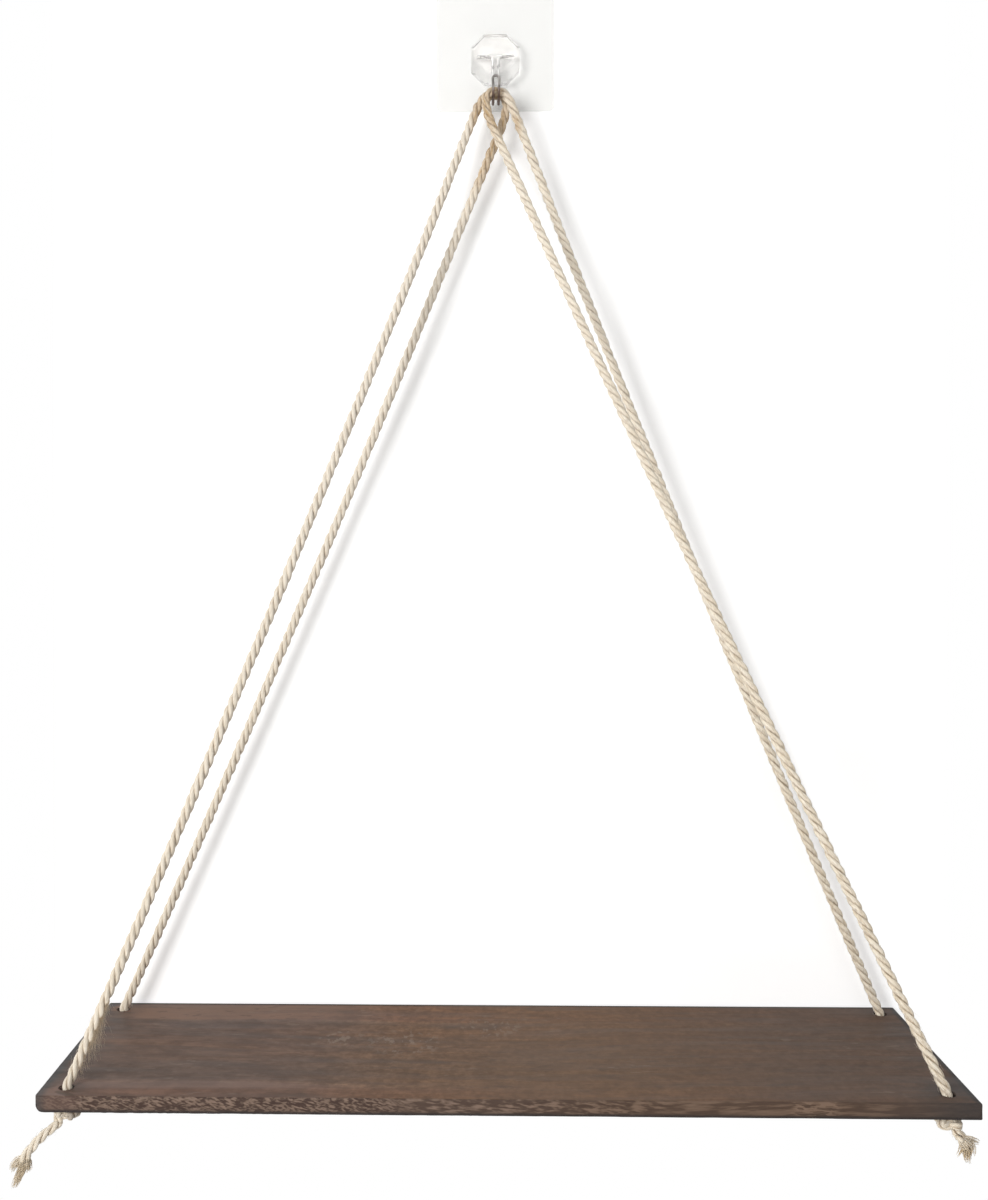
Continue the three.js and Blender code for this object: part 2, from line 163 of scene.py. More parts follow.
def frames_along(line):
    """Tangent, normal and binormal at each point, with no twist of their own"""
    tangent = unit(np.gradient(line, axis=0))
    start = np.array([0.0, -1.0, 0.0])
    normal = np.empty_like(line)
    normal[0] = unit(start - tangent[0] * (start @ tangent[0]))
    for i in range(1, len(line)):
        turned = normal[i - 1] - tangent[i] * (normal[i - 1] @ tangent[i])
        normal[i] = turned / np.linalg.norm(turned)
    return tangent, normal, np.cross(tangent, normal)


def waver(along, wavelengths, rng):
    """A smooth random wave of about one, at each length along"""
    waves = [np.sin(TURN * (along / wavelength + rng.random())) for wavelength in wavelengths]
    return sum(waves) / len(waves) ** 0.5


# Meshes


def add_object(name, points, faces):
    mesh = bpy.data.meshes.new(name)
    mesh.from_pydata(points, [], faces)
    made = bpy.data.objects.new(name, mesh)
    scene.collection.objects.link(made)
    return made


def make_piece(name, points, faces, material, body, attributes=()):
    """A smooth piece of the object, with a value or vector of each attribute for each point"""
    made = add_object(name, points, faces)
    mesh = made.data
    for key, values in dict(attributes).items():
        values = np.asarray(values, np.float32)
        single = values.size == len(points)
        stored = mesh.attributes.new(key, "FLOAT" if single else "FLOAT_VECTOR", "POINT")
        stored.data.foreach_set("value" if single else "vector", values.ravel())
    mesh.polygons.foreach_set("use_smooth", np.ones(len(mesh.polygons), bool))
    mesh.materials.append(material)
    mesh.update()
    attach(made, body)
    return made


class Builder:
    """Gathers rings of points into closed tubes of one mesh, with values for each point"""

    def __init__(self, keys=("fibre", "outward")):
        self.points, self.faces, self.count = [], [], 0
        self.values = {key: [] for key in keys}

    def tube(self, rings, **values):
        rows, sides = rings.shape[:2]
        index = self.count + np.arange(rows * sides).reshape(rows, sides)
        beside = np.roll(index, -1, axis=1)
        walls = np.stack([index[:-1], beside[:-1], beside[1:], index[1:]], axis=-1)
        ends = index[0, ::-1].tolist(), index[-1].tolist()
        self.faces += [*walls.reshape(-1, 4).tolist(), *ends]
        self.points.append(rings.reshape(-1, 3))
        for key, stored in self.values.items():
            stored.append(np.reshape(values[key], (rows * sides, -1)))
        self.count += rows * sides

    def finished(self):
        values = {key: np.vstack(stored) for key, stored in self.values.items()}
        return np.vstack(self.points), self.faces, values


def spokes(normal, binormal, sides):
    """Unit vectors to the points of a ring round each point of a line"""
    angles = TURN * np.arange(sides)[:, None] / sides
    return np.cos(angles) * normal[:, None] + np.sin(angles) * binormal[:, None]


def lay_strands(builder, line, width, seed, first=0, stop=None, unlay=0.0):
    """Three strands laid left-handed round the line. Only the points from first up to stop are
    built, so pieces cut from one line meet. unlay opens the strands, as a share of the width."""
    rng = np.random.default_rng(seed)
    along = lengths_along(line)
    _, normal, binormal = frames_along(line)
    for strand in range(3):
        turn = -TURN * along / LAY + TURN * strand / 3
        turn = turn + 0.12 * waver(along, (41 * MM, 67 * MM, 23 * MM), rng)
        out = np.cos(turn)[:, None] * normal + np.sin(turn)[:, None] * binormal
        reach = width * (STRAND_OUT + unlay) * (1 + 0.03 * waver(along, (31 * MM, 13 * MM), rng))
        centre = line + reach[:, None] * out
        ahead = unit(np.gradient(centre, axis=0))
        side = unit(out - ahead * np.sum(out * ahead, axis=1, keepdims=True))
        across = np.cross(ahead, side)
        angles = TURN * np.arange(STRAND_SIDES) / STRAND_SIDES
        yarn = angles - (TURN * along / (LAY * 2 / 3))[:, None] + strand
        ridges = 0.045 * np.cos(4 * yarn) + 0.03 * np.cos(6 * yarn + 1.3)
        swell = 1 + 0.05 * waver(along, (19 * MM, 7 * MM, 53 * MM), rng)
        radius = (STRAND_RADIUS * width * swell)[:, None] * (1 + ridges)
        rings = centre[:, None] + radius[..., None] * spokes(side, across, STRAND_SIDES)
        grain = np.broadcast_to(along[:, None] + strand * 0.37 + seed * 0.11, yarn.shape)
        turned = np.stack([radius * np.cos(yarn), radius * np.sin(yarn), grain], axis=-1)
        # How far each point stands out from the rope's centre line, as a share of its half width.
        # The jute material paints shade where this is low.
        outward = np.linalg.norm(rings - line[:, None], axis=-1) / (width[:, None] / 2)
        span = slice(first, stop)
        builder.tube(rings[span], fibre=turned[span], outward=outward[span])


def add_fibre(builder, line, radius, end_share, grain, outward, sides):
    """One thin fibre that narrows to a share of its radius"""
    _, normal, binormal = frames_along(line)
    taper = radius * np.linspace(1, end_share, len(line))[:, None, None]
    rings = line[:, None] + taper * spokes(normal, binormal, sides)
    place = np.broadcast_to(grain[:, None, None], (len(line), sides, 1))
    fibre = np.concatenate([(rings - line[:, None])[..., :2], place], axis=-1)
    builder.tube(rings, fibre=fibre, outward=np.broadcast_to(outward, (len(line), sides)))


def add_hairs(builder, roots, headings, bends, lengths, radius, seed, points=6):
    """Fibres that each start at a root, along a heading, and curve by a bend"""
    rng = np.random.default_rng(seed)
    t = np.linspace(0, 1, points)[:, None]
    for root, heading, bend, length in zip(roots, headings, bends, lengths):
        line = root + length * (heading * t + bend * t**2)
        wave = unit(rng.normal(size=3)) * length * 0.05
        line = line + wave * np.sin(TURN * (t * rng.uniform(0.7, 1.6) + rng.random()))
        thick = radius * rng.uniform(0.7, 1.3)
        grain = t[:, 0] * length + rng.random() * 9
        add_fibre(builder, line, thick, 0.35, grain, 1.0, sides=3)


def fuzz(builder, line, count, seed, longest, surface=0.5 * ROPE):
    """Short loose fibres along a rope, most of them lying close to it"""
    rng = np.random.default_rng(seed)
    tangent, normal, binormal = frames_along(line)
    picks = rng.integers(4, len(line) - 4, count)
    column = (count, 1)
    angle = rng.random(column) * TURN
    out = np.cos(angle) * normal[picks] + np.sin(angle) * binormal[picks]
    roots = line[picks] + out * surface * rng.uniform(0.7, 0.92, column)
    way = tangent[picks] * rng.choice([-1.0, 1.0], column)
    sideways = np.cross(tangent[picks], out) * rng.normal(0, 0.5, column)
    lift = rng.uniform(0.12, 0.75, column) ** 1.3
    headings = unit(way + sideways + out * lift * 1.6)
    bends = way * rng.uniform(-0.2, 0.5, column) - out * rng.uniform(0, 0.45, column)
    lengths = rng.uniform(0.25, 1, count) ** 1.6 * longest
    add_hairs(builder, roots, headings, bends, lengths, 0.045 * MM, seed + 1)


# Materials


class Shader:
    """The node tree of a material or world, with short calls for the nodes that it uses"""

    def __init__(self, owner):
        owner.use_nodes = True
        self.owner, self.tree = owner, owner.node_tree
        self.tree.nodes.clear()

    def node(self, kind, inputs=(), **settings):
        made = self.tree.nodes.new("ShaderNode" + kind)
        for key, value in settings.items():
            setattr(made, key, value)
        for key, value in dict(inputs).items():
            socket = made.inputs[key]
            if isinstance(value, bpy.types.NodeSocket):
                self.tree.links.new(value, socket)
            else:
                socket.default_value = (*value, 1) if socket.type == "RGBA" else value
        return made

    def place(self):
        return self.node("TexCoord").outputs["Object"]

    def attribute(self, name, output="Fac"):
        return self.node("Attribute", attribute_name=name).outputs[output]

    def vector_math(self, operation, a, b, output="Vector"):
        return self.node("VectorMath", {0: a, 1: b}, operation=operation).outputs[output]

    def noise(self, vector, scale, detail, rough=0.5, output="Fac"):
        """A scale of three numbers stretches the noise along the axes"""
        if isinstance(scale, tuple):
            vector, scale = self.vector_math("MULTIPLY", vector, scale), 1
        inputs = {"Vector": vector, "Scale": scale, "Detail": detail, "Roughness": rough}
        return self.node("TexNoise", inputs).outputs[output]

    def calc(self, operation, first, *others):
        for other in others or (0.0,):
            first = self.node("Math", {0: first, 1: other}, operation=operation).outputs[0]
        return first

    def times(self, *values):
        return self.calc("MULTIPLY", *values)

    def total(self, *values):
        return self.calc("ADD", *values)

    def largest(self, *values):
        return self.calc("MAXIMUM", *values)

    def size(self, value):
        return self.calc("ABSOLUTE", value)

    def remainder(self, share):
        return self.calc("SUBTRACT", 1.0, share)

    def fade(self, value, low, high, to_low=0.0, to_high=1.0):
        """A smooth change from to_low, where the value is low, to to_high, where it is high"""
        ranges = {"From Min": low, "From Max": high, "To Min": to_low, "To Max": to_high}
        made = self.node("MapRange", {"Value": value, **ranges}, interpolation_type="SMOOTHSTEP")
        return made.outputs["Result"]

    def mix(self, share, a, b, blend="MIX"):
        made = self.node("Mix", {0: share, 6: a, 7: b}, data_type="RGBA", blend_type=blend)
        return made.outputs[2]

    def stain(self, share, base, by):
        return self.mix(share, base, by, "MULTIPLY")

    def cover(self, share, colour):
        """Lays a colour over the tint that the material has so far"""
        self.tint = self.mix(share, self.tint, colour)

    def tone(self, share, colour):
        self.tint = self.stain(share, self.tint, colour)

    def ramp(self, value, stops):
        made = self.node("ValToRGB", {"Fac": value})
        band = made.color_ramp
        while len(band.elements) < len(stops):
            band.elements.new(0.5)
        for element, (at, *colour) in zip(band.elements, stops):
            element.position, element.color = at, (*colour, 1)
        return made.outputs["Color"]

    def bump(self, height, strength, distance):
        inputs = {"Height": height, "Strength": strength, "Distance": distance}
        return self.node("Bump", inputs).outputs["Normal"]

    def parts(self, vector):
        return self.node("SeparateXYZ", {0: vector}).outputs

    def surface(self, **inputs):
        named = {key.replace("_", " "): value for key, value in inputs.items()}
        return self.node("BsdfPrincipled", named).outputs["BSDF"]

    def shader(self, kind, **inputs):
        return self.node(kind, inputs).outputs[0]

    def blend(self, share, a, b):
        return self.node("MixShader", {0: share, 1: a, 2: b}).outputs[0]

    def seen(self):
        """One where the camera sees the surface, also in a reflection or through a clear part"""
        rays = self.node("LightPath").outputs
        kinds = ("Camera", "Glossy", "Transmission")
        return self.largest(*(rays[f"Is {kind} Ray"] for kind in kinds))

    def end(self, shader, kind="OutputMaterial"):
        self.node(kind, {"Surface": shader})
        return self.owner

    def covered(self, **inputs):
        """The material with one plain surface"""
        return self.end(self.surface(**inputs))


def new_material(name):
    return Shader(bpy.data.materials.new(name))


def jute_material(name, colours, aged_z, hook_shade_z, bend_share, speck_share):
    """Twisted jute, with painted shade in the grooves between its strands and on one knot lobe,
    painted light that makes it paler towards the top, a golden tone with painted shade round the
    hook, and browner frayed ends
    """
    s = new_material(name)
    pale, mid, dark, speck_and_groove_shade = colours
    place, fibre = s.place(), s.attribute("fibre", "Vector")
    streaks = s.noise(fibre, (5200, 5200, 190), 3, 0.6)
    broad = s.noise(fibre, (1500, 1500, 90), 2)
    patches = s.noise(place, 42, 2)
    s.tint = s.ramp(
        s.total(s.times(streaks, 0.55), s.times(broad, 0.45)),
        [(0.34, *dark), (0.47, *mid), (0.6, *pale)],
    )
    s.cover(s.fade(patches, 0.42, 0.68, 0, 0.35), mid)
    specks = s.noise(fibre, (2600, 2600, 520), 2, 0.6)
    s.cover(s.fade(specks, 0.54, 0.62, 0, speck_share), speck_and_groove_shade)
    # Painted shade: the strands are darker, unevenly, where they dip into the grooves between them.
    # The same dark colour also marks the dark specks above.
    groove_shade = s.fade(s.attribute("outward"), 0.56, 0.86, 0.9, 0)
    groove_shade = s.times(groove_shade, s.fade(s.noise(place, 150, 1), 0.36, 0.6, 0.55, 1))
    s.cover(groove_shade, speck_and_groove_shade)

    x, _, z = s.parts(place)
    # Painted light: the ropes are paler towards the top.
    s.cover(s.fade(z, -0.42, -0.1, 0, 0.3), (0.93, 0.87, 0.78))
    aged = s.times(s.fade(z, aged_z, aged_z - 6 * MM), s.fade(patches, 0.3, 0.6, 1, 0.5))
    s.tone(aged, (0.8, 0.7, 0.52))

    # Painted shade: the right lobe of the front left knot, in the shade under the board, is darker
    knot_shade_across = s.times(s.fade(x, -0.189, -0.187), s.fade(x, -0.1, -0.15))
    knot_shade_up = s.times(s.fade(z, -0.5, -0.4985, 0, 0.8), s.fade(z, -0.4925, -0.4945))
    s.tone(s.times(knot_shade_across, knot_shade_up), (0.4, 0.38, 0.37))

    # Round the hook the ropes are darker and golden: partly their own colour, partly painted shade
    # in the eye and where they cross. There is less of it round the right rope's bend.
    near_hook = s.fade(s.size(x), 14.5 * MM, 9.5 * MM)
    hook_tone_and_shade = s.times(s.fade(z, hook_shade_z, hook_shade_z + 22 * MM), near_hook)
    hook_tone_and_shade = s.times(hook_tone_and_shade, s.fade(broad, 0.36, 0.56, 1.0, 0.55))
    bend = s.times(s.fade(x, 1 * MM, 5 * MM), s.fade(z, -43 * MM, -34 * MM, 0, bend_share))
    hook_tone_and_shade = s.times(hook_tone_and_shade, s.remainder(bend))
    s.tone(hook_tone_and_shade, (0.64, 0.5, 0.33))
    flecks = s.times(hook_tone_and_shade, s.fade(s.noise(place, 620, 2, 0.6), 0.5, 0.66, 0, 0.6))
    s.cover(flecks, (0.3, 0.19, 0.1))
    return s.covered(
        Base_Color=s.tint,
        Roughness=0.88,
        Specular_IOR_Level=0.2,
        Sheen_Weight=0.25,
        Sheen_Roughness=0.6,
        Normal=s.bump(s.total(s.times(streaks, 0.7), broad), 0.55, 0.25 * MM),
    )


JUTE_LEFT = jute_material(
    "jute_left",
    ((0.9, 0.82, 0.7), (0.83, 0.74, 0.6), (0.62, 0.51, 0.38), (0.44, 0.335, 0.225)),
    aged_z=-515 * MM,
    hook_shade_z=-82 * MM,
    bend_share=0.2,
    speck_share=0.25,
)
JUTE_RIGHT = jute_material(
    "jute_right",
    ((0.96, 0.88, 0.75), (0.9, 0.79, 0.625), (0.58, 0.45, 0.3), (0.34, 0.24, 0.145)),
    aged_z=-506 * MM,
    hook_shade_z=-60 * MM,
    bend_share=0.8,
    speck_share=0.5,
)
JUTE_LOOSE = jute_material(
    "jute_loose",
    ((0.74, 0.61, 0.44), (0.56, 0.44, 0.3), (0.4, 0.3, 0.19), (0.3, 0.22, 0.13)),
    aged_z=-530 * MM,
    hook_shade_z=-60 * MM,
    bend_share=0,
    speck_share=0.2,
)


# Ropes


# Points of the eye: to the side in rope widths, and down in shares of its depth. Points of a leg:
# shares of its length from the hole, and the three nearest the hole in rope widths.
EYE_SHARES = (
    *((0.57, 0.03), (0.98, 0.1), (1.06, 0.2), (0.98, 0.36)),
    *((0.76, 0.57), (0.38, 0.8), (0, 1)),
)
LEG_SHARES = (0.12, 0.3, 0.5, 0.7, 0.85)
BEND_SHARES = (0.1, 1.2, 2.6)


def strand_y(hook_y, hole_y, z):
    return hook_y + (hole_y - hook_y) * (ROPE_TOP_Z - z) / (ROPE_TOP_Z - BOARD_TOP_Z)


def leg_points(side, hook_end, hole):
    mouth = np.array([side * (hole[0] - HOLE_LEAN), hole[1], BOARD_TOP_Z])
    bend = mouth + [0, 0, BEND_SHARES[0] * ROPE]
    along = hook_end - bend
    far = np.linalg.norm(along)
    near = [(share - BEND_SHARES[0]) * ROPE / far for share in BEND_SHARES]
    points = [np.array([side * hole[0], hole[1], BOARD_BOTTOM_Z]), mouth]
    for share in (*near, *LEG_SHARES):
        points.append(bend + along * share - [0, 0, 4 * share * (1 - share) * LEG_SAG])
    return [*points, hook_end]


def rope_route(side, hook_y, radius, outer_hole, inner_hole):
    """From the outer hole, over the hook, through the eye and down to the inner hole"""
    arc_centre_z = ROPE_TOP_Z - radius
    drop = arc_centre_z - BOARD_TOP_Z
    far = outer_hole[0]
    leaves = math.acos(radius / math.hypot(far, drop)) - math.atan2(drop, far)
    arc = []
    for angle in np.linspace(leaves, math.pi / 2, 5):
        z = arc_centre_z + radius * math.sin(angle)
        x = side * radius * math.cos(angle)
        arc.append(np.array([x, strand_y(hook_y, outer_hole[1], z), z]))
    eye = []
    for out, down in EYE_SHARES:
        z = ROPE_TOP_Z - down * EYE_DEPTH
        eye.append(np.array([-side * out * ROPE, strand_y(hook_y, inner_hole[1], z), z]))
    outer_leg = leg_points(side, arc[0], outer_hole)
    inner_leg = leg_points(side, eye[-1], inner_hole)[::-1]
    return [*outer_leg, *arc[1:], *eye, *inner_leg[1:]]


def rope_piece(name, builder, material):
    points, faces, values = builder.finished()
    return make_piece(name, points, faces, material, "shelf", values)


def build_rope(name, material, nodes, seed, **route):
    line = smooth_line(rope_route(**route), 0.6 * MM)
    along = lengths_along(line)
    from_end = np.minimum(along, along[-1] - along)
    width = ROPE * (0.9 + 0.03 * np.clip((from_end - 5 * MM) / (4 * MM), 0, 1))
    width = width * (1 + 0.02 * waver(along, (90 * MM, 37 * MM), np.random.default_rng(seed + 5)))
    builder = Builder()
    lay_strands(builder, line, width, seed)
    rope = rope_piece(name, builder, material)
    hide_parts(*nodes)
    return rope, line


left_rope, left_line = build_rope(
    "left_rope",
    JUTE_LEFT,
    ("left_rope_front_leg", "left_rope_hook_bight", "left_rope_back_leg"),
    11,
    side=-1,
    hook_y=LEFT_ROPE_Y,
    radius=9.5 * MM,
    outer_hole=FRONT_HOLE,
    inner_hole=BACK_HOLE,
)
right_rope, right_line = build_rope(
    "right_rope",
    JUTE_RIGHT,
    ("right_rope_back_leg", "right_rope_hook_bight", "right_rope_front_leg"),
    23,
    side=1,
    hook_y=RIGHT_ROPE_Y,
    radius=7 * MM,
    outer_hole=BACK_HOLE,
    inner_hole=FRONT_HOLE,
)


# Knots and tails


# The knot's path in shares of its reach and rise. Its lower half is the upper one turned over.
KNOT_SHARES = (
    (0.9, 0, 0),
    (0.56, -0.17, -0.68),
    (-0.22, -0.5, -1),
    (-0.95, -0.69, -0.54),
    (-0.78, -0.61, 0.24),
    (-0.06, 0.17, 0.5),
    (0.6, 0.94, 0.62),
)
HEAD_SHARES = ((0.45, 0.7, 0.9), (0.12, 0.25, 1))
FOOT_SHARES = ((0.84, -0.6, -0.86), (0.9, -0.15, -1))
FOOT_OUT_SHARE = 0.85
KNOT_REACH = (KNOT_WIDTH - KNOT_STRAND) / 2
KNOT_RISE = (KNOT_HEIGHT - KNOT_STRAND) / 2


def knot_points(side, hole):
    """The knot's path from its foot to its head, which is pressed up under the board"""
    half = KNOT_HEIGHT / 2
    turned_over = np.array(KNOT_SHARES[:0:-1]) * [1, -1, -1]
    shares = np.vstack([FOOT_SHARES[::-1], turned_over, KNOT_SHARES, HEAD_SHARES])
    foot, head = (FOOT_OUT_SHARE * KNOT_REACH, 0, -half), (0, 0, half)
    local = np.vstack([foot, shares * [KNOT_REACH, KNOT_REACH, KNOT_RISE], head])
    centre = np.array([side * hole[0], hole[1], KNOT_TOP_Z - half])
    return centre + local * [side, side, 1]


def add_tuft(builder, start, route, width, count, seed):
    """Loose fibres of an unlaid end: they leave it together, open out and end unevenly"""
    rng = np.random.default_rng(seed)
    line = smooth_line([start, *route], 0.5 * MM)
    _, normal, binormal = frames_along(line)
    reach = lengths_along(line)[-1]
    for _ in range(count):
        t = np.linspace(0, rng.uniform(0.55, 1.0), 9)
        place = (t * (len(line) - 1)).astype(int)
        turn, far = rng.random() * TURN, rng.random() ** 0.5
        open_out = far * (0.55 + 0.75 * np.sin(np.pi * t**0.8) + 0.3 * t)
        side = np.cos(turn) * normal[place] + np.sin(turn) * binormal[place]
        path = line[place] + side * (open_out * width)[:, None]
        curl = unit(rng.normal(size=3)) * 0.28 * width
        sway = np.sin(TURN * (t * rng.uniform(0.8, 2.2) + rng.random())) * t
        path = path + curl * sway[:, None]
        thick = rng.uniform(0.1, 0.17) * MM
        grain = t * reach + rng.random() * 9
        # Fibres nearer the middle of a tuft get lower outward values, so the jute material paints
        # more shade on them.
        outward = np.clip(0.5 + 0.5 * far + 0.2 * t, 0, 1)[:, None]
        add_fibre(builder, path, thick, 0.4, grain, outward, sides=4)


def pressed(points, hole_x, hole_y):
    """Points of a knot kept above its foot and, outside the hole, under the board"""
    in_hole = np.hypot(points[:, 0] - hole_x, points[:, 1] - hole_y) <= HOLE_RADIUS - 0.3 * MM
    ceiling = np.where(in_hole, BOARD_TOP_Z, BOARD_BOTTOM_Z - 0.05 * MM)
    heights = np.clip(points[:, 2], KNOT_TOP_Z - KNOT_HEIGHT - 0.5 * MM, ceiling)
    return np.column_stack([points[:, :2], heights])


def build_end(corner, seed, length, neck, tufts):
    """One rope end: the stopper knot under the board and the frayed tail below it.

    The points of the neck and tufts are shares of the length. Each tuft has its route from the
    neck's end, its width in millimetres and its number of fibres."""
    side, material = (-1, JUTE_LEFT) if "left" in corner else (1, JUTE_RIGHT)
    hole = FRONT_HOLE if "front" in corner else BACK_HOLE
    knot = knot_points(side, hole)
    start = knot[0] - [0, 0, STRETCH_GAP]
    neck = start + np.array(neck) * length
    into_hole = knot[-1] + [0, 0, 1.2 * MM]
    line = smooth_line([*neck[::-1], *knot[1:], into_hole], 0.45 * MM)
    along = lengths_along(line)
    cut = int(np.argmin(np.linalg.norm(line - start, axis=1)))
    width = np.full(len(line), TIGHT_ROPE)
    width[:cut] = np.interp(along[:cut], [0, along[cut]], TAIL_WIDTHS)
    opening = 0.13 * np.clip(1 - along / (5 * MM), 0, 1)

    builder = Builder()
    lay_strands(builder, line, width, seed, first=cut, unlay=opening)
    builder.points = [pressed(points, side * hole[0], hole[1]) for points in builder.points]
    turns = rope_piece(f"{corner}_knot_turns", builder, material)
    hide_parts(f"{corner}_knot")

    builder = Builder()
    lay_strands(builder, line, width, seed, stop=cut + 1, unlay=opening)
    for number, (route, tuft_width, count) in enumerate(tufts):
        route = [neck[-1] + np.array(point) * length for point in route]
        inside = neck[-1] + (neck[-2] - neck[-1]) * 0.4
        add_tuft(builder, inside, route, tuft_width * MM / 2, count, seed + 3 + number)
    fuzz(builder, line[: cut + 1], 60, seed + 9, 4 * MM, 0.45 * ROPE)
    tail = rope_piece(f"{corner}_frayed_tail", builder, material)
    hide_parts(f"{corner}_tail")
    return turns, tail


front_left_end = build_end(
    "front_left",
    seed=101,
    length=37 * MM,
    neck=(
        *((0, 0, 0), (-0.02, 0, -0.04), (-0.11, 0, -0.11), (-0.21, 0.01, -0.2)),
        *((-0.36, 0.02, -0.37), (-0.42, 0.02, -0.47)),
    ),
    tufts=(
        (((0.01, 0, -0.03), (0.02, 0, -0.08), (0, 0, -0.14)), 4.4, 150),
        (((-0.02, 0, -0.1), (-0.07, 0.01, -0.21), (-0.135, 0.01, -0.34)), 2.6, 120),
        (((-0.06, -0.01, 0), (-0.11, -0.01, -0.06), (-0.14, -0.01, -0.15)), 2.8, 50),
    ),
)
back_left_end = build_end(
    "back_left",
    seed=131,
    length=24 * MM,
    neck=((0, 0, 0), (0, 0, -0.08), (-0.02, 0.01, -0.2), (-0.06, 0.03, -0.35), (-0.11, 0.05, -0.5)),
    tufts=(
        (((-0.03, 0, -0.14), (-0.06, 0, -0.3), (-0.08, 0, -0.46)), 3.2, 110),
        (((0.02, 0, -0.12), (0.05, 0, -0.24), (0.06, 0, -0.34)), 2.2, 50),
    ),
)
front_right_end = build_end(
    "front_right",
    seed=151,
    length=16 * MM,
    neck=((0, 0, 0), (0, 0, -0.06), (0.03, 0, -0.12), (0.09, 0, -0.2), (0.14, 0, -0.28)),
    tufts=(
        (((0.1, 0, -0.1), (0.2, 0, -0.24), (0.2, 0, -0.46)), 4.0, 110),
        (((0.16, 0, 0), (0.34, 0, -0.04), (0.5, 0, -0.09)), 2.4, 60),
        (((0.08, 0, -0.16), (0.13, 0, -0.4), (0.17, 0, -0.66)), 3.0, 90),
        (((0, 0, -0.14), (-0.05, 0, -0.34), (-0.16, 0, -0.5)), 1.4, 26),
    ),
)
back_right_end = build_end(
    "back_right",
    seed=171,
    length=24 * MM,
    neck=((0, 0, 0), (0, 0, -0.08), (0.03, 0.01, -0.2), (0.08, 0.03, -0.35), (0.14, 0.05, -0.5)),
    tufts=(
        (((0.04, 0, -0.14), (0.08, 0, -0.28), (0.1, 0, -0.44)), 3.2, 110),
        (((-0.02, 0, -0.12), (-0.03, 0, -0.24), (-0.05, 0, -0.36)), 2.2, 50),
    ),
)


def build_fuzz(name, line, material, seed):
    builder = Builder()
    fuzz(builder, line, 1500, seed, 5 * MM)
    return rope_piece(name, builder, material)


# Fibres that have worked loose on the right of the left rope: each bunch's height above the
# board, number of fibres, shortest and longest fibre in millimetres, and seed
BUNCHES = (
    (16 * MM, 45, (4, 9), 311),
    (22 * MM, 80, (2, 5), 317),
    (27 * MM, 110, (5, 13), 321),
    (30 * MM, 110, (2, 5), 323),
    (33 * MM, 140, (2, 6), 325),
)


def build_loose_bunches(line):
    builder = Builder()
    low = line[: len(line) // 2]
    for height, count, reach, seed in BUNCHES:
        rng = np.random.default_rng(seed)
        place = int(np.argmin(np.abs(low[:, 2] - (BOARD_TOP_Z + height))))
        picks = np.clip(place + rng.integers(-9, 9, count), 2, len(low) - 2)
        roots = low[picks] + np.array([1.4, -1.1, 0]) * MM
        stray = rng.normal(0, 0.16, (count, 3)) * [1, 1, 0.4]
        headings = unit(np.array([0.04, -0.15, -1.0]) + stray)
        bends = np.array([0.16, 0, 0.02]) * rng.uniform(-0.6, 1.2, count)[:, None]
        lengths = rng.uniform(*reach, count) * MM
        add_hairs(builder, roots, headings, bends, lengths, 0.05 * MM, seed + 1, 8)
    return rope_piece("left_rope_loose_bunches", builder, JUTE_LOOSE)


left_fuzz = build_fuzz("left_rope_fibres", left_line, JUTE_LEFT, 301)
left_bunches = build_loose_bunches(left_line)
right_fuzz = build_fuzz("right_rope_fibres", right_line, JUTE_RIGHT, 331)


# Board


def lattice_noise(u, v, seed):
    """Smooth noise from 0 to 1 over two coordinates, one cell a unit"""
    table = np.random.default_rng(seed).random((97, 89))
    i, j = np.floor(u).astype(int), np.floor(v).astype(int)
    a, b = fade(u - i, 0, 1), fade(v - j, 0, 1)
    low = table[i % 97, j % 89] * (1 - a) + table[(i + 1) % 97, j % 89] * a
    high = table[i % 97, (j + 1) % 89] * (1 - a) + table[(i + 1) % 97, (j + 1) % 89] * a
    return low * (1 - b) + high * b


def fade(value, low, high):
    share = np.clip((value - low) / (high - low), 0, 1)
    return share * share * (3 - 2 * share)


def spaced(low, high, count, ease):
    """Even places from low to high, with two closer ones at each end to round the edge"""
    inner = np.linspace(low + ease, high - ease, count)
    near = [0, ease * 0.3, ease * 0.65]
    return np.array([*(low + n for n in near), *inner, *(high - n for n in reversed(near))])


def box_surface(xs, ys, zs):
    """Lattice points on the faces of a box, with the quads that join them"""
    lattice = np.stack(np.meshgrid(xs, ys, zs, indexing="ij"), axis=-1)
    on_face = np.ones(lattice.shape[:3], bool)
    on_face[1:-1, 1:-1, 1:-1] = False
    number = np.cumsum(on_face).reshape(on_face.shape) - 1
    quads = []
    for axis, end in ((2, -1), (2, 0), (1, 0), (1, -1), (0, 0), (0, -1)):
        sheet = np.take(number, end, axis)
        corners = [sheet[:-1, :-1], sheet[1:, :-1], sheet[1:, 1:], sheet[:-1, 1:]]
        flip = (end == 0) != (axis == 1)
        quads.append(np.stack(corners[::-1] if flip else corners, axis=-1).reshape(-1, 4))
    return lattice[on_face], np.vstack(quads)


